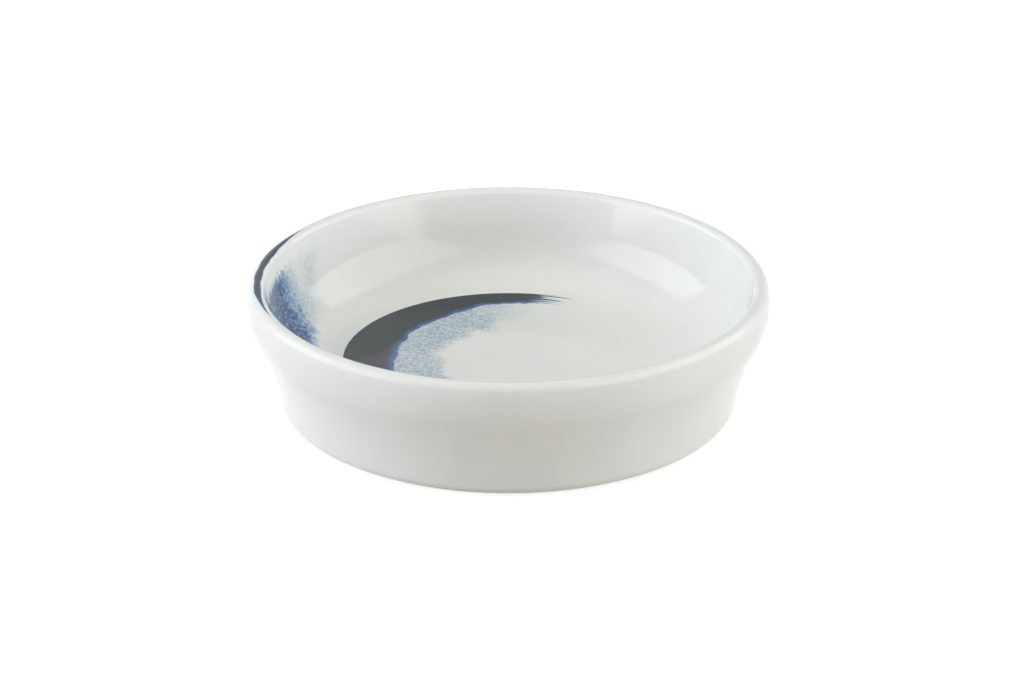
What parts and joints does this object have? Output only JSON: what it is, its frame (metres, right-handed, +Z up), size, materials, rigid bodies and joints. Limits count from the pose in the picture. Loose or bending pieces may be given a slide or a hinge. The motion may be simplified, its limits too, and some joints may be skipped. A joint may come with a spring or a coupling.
{
  "type": "soy sauce dish",
  "caption": "Small round porcelain dish for soy sauce or condiments, with a flared wall, a rounded lip, a flat well and a recessed base on a bare foot ring.",
  "frame": {"origin": "middle of the circle that the foot ring stands on", "axes": "+Z up along the dish's axis of revolution; the print lies towards -X and +Y, which is the left and back as pictured"},
  "size_m": [0.08, 0.08, 0.02],
  "materials": {
    "biscuit": "fired, ground, bare",
    "glaze": "clear gloss glaze on white porcelain",
    "indigo_print": "dark blue-grey pigment melted into the glaze, gloss",
    "wash_print": "pale blue speckled pigment melted into the glaze, gloss"
  },
  "bodies": {
    "root": {"porcelain_body": "biscuit", "glaze_coat": "glaze", "base_glaze": "glaze", "crescent_print": "indigo_print", "wash_print": "wash_print", "rim_line_print": "indigo_print"}
  },
  "joints": []
}
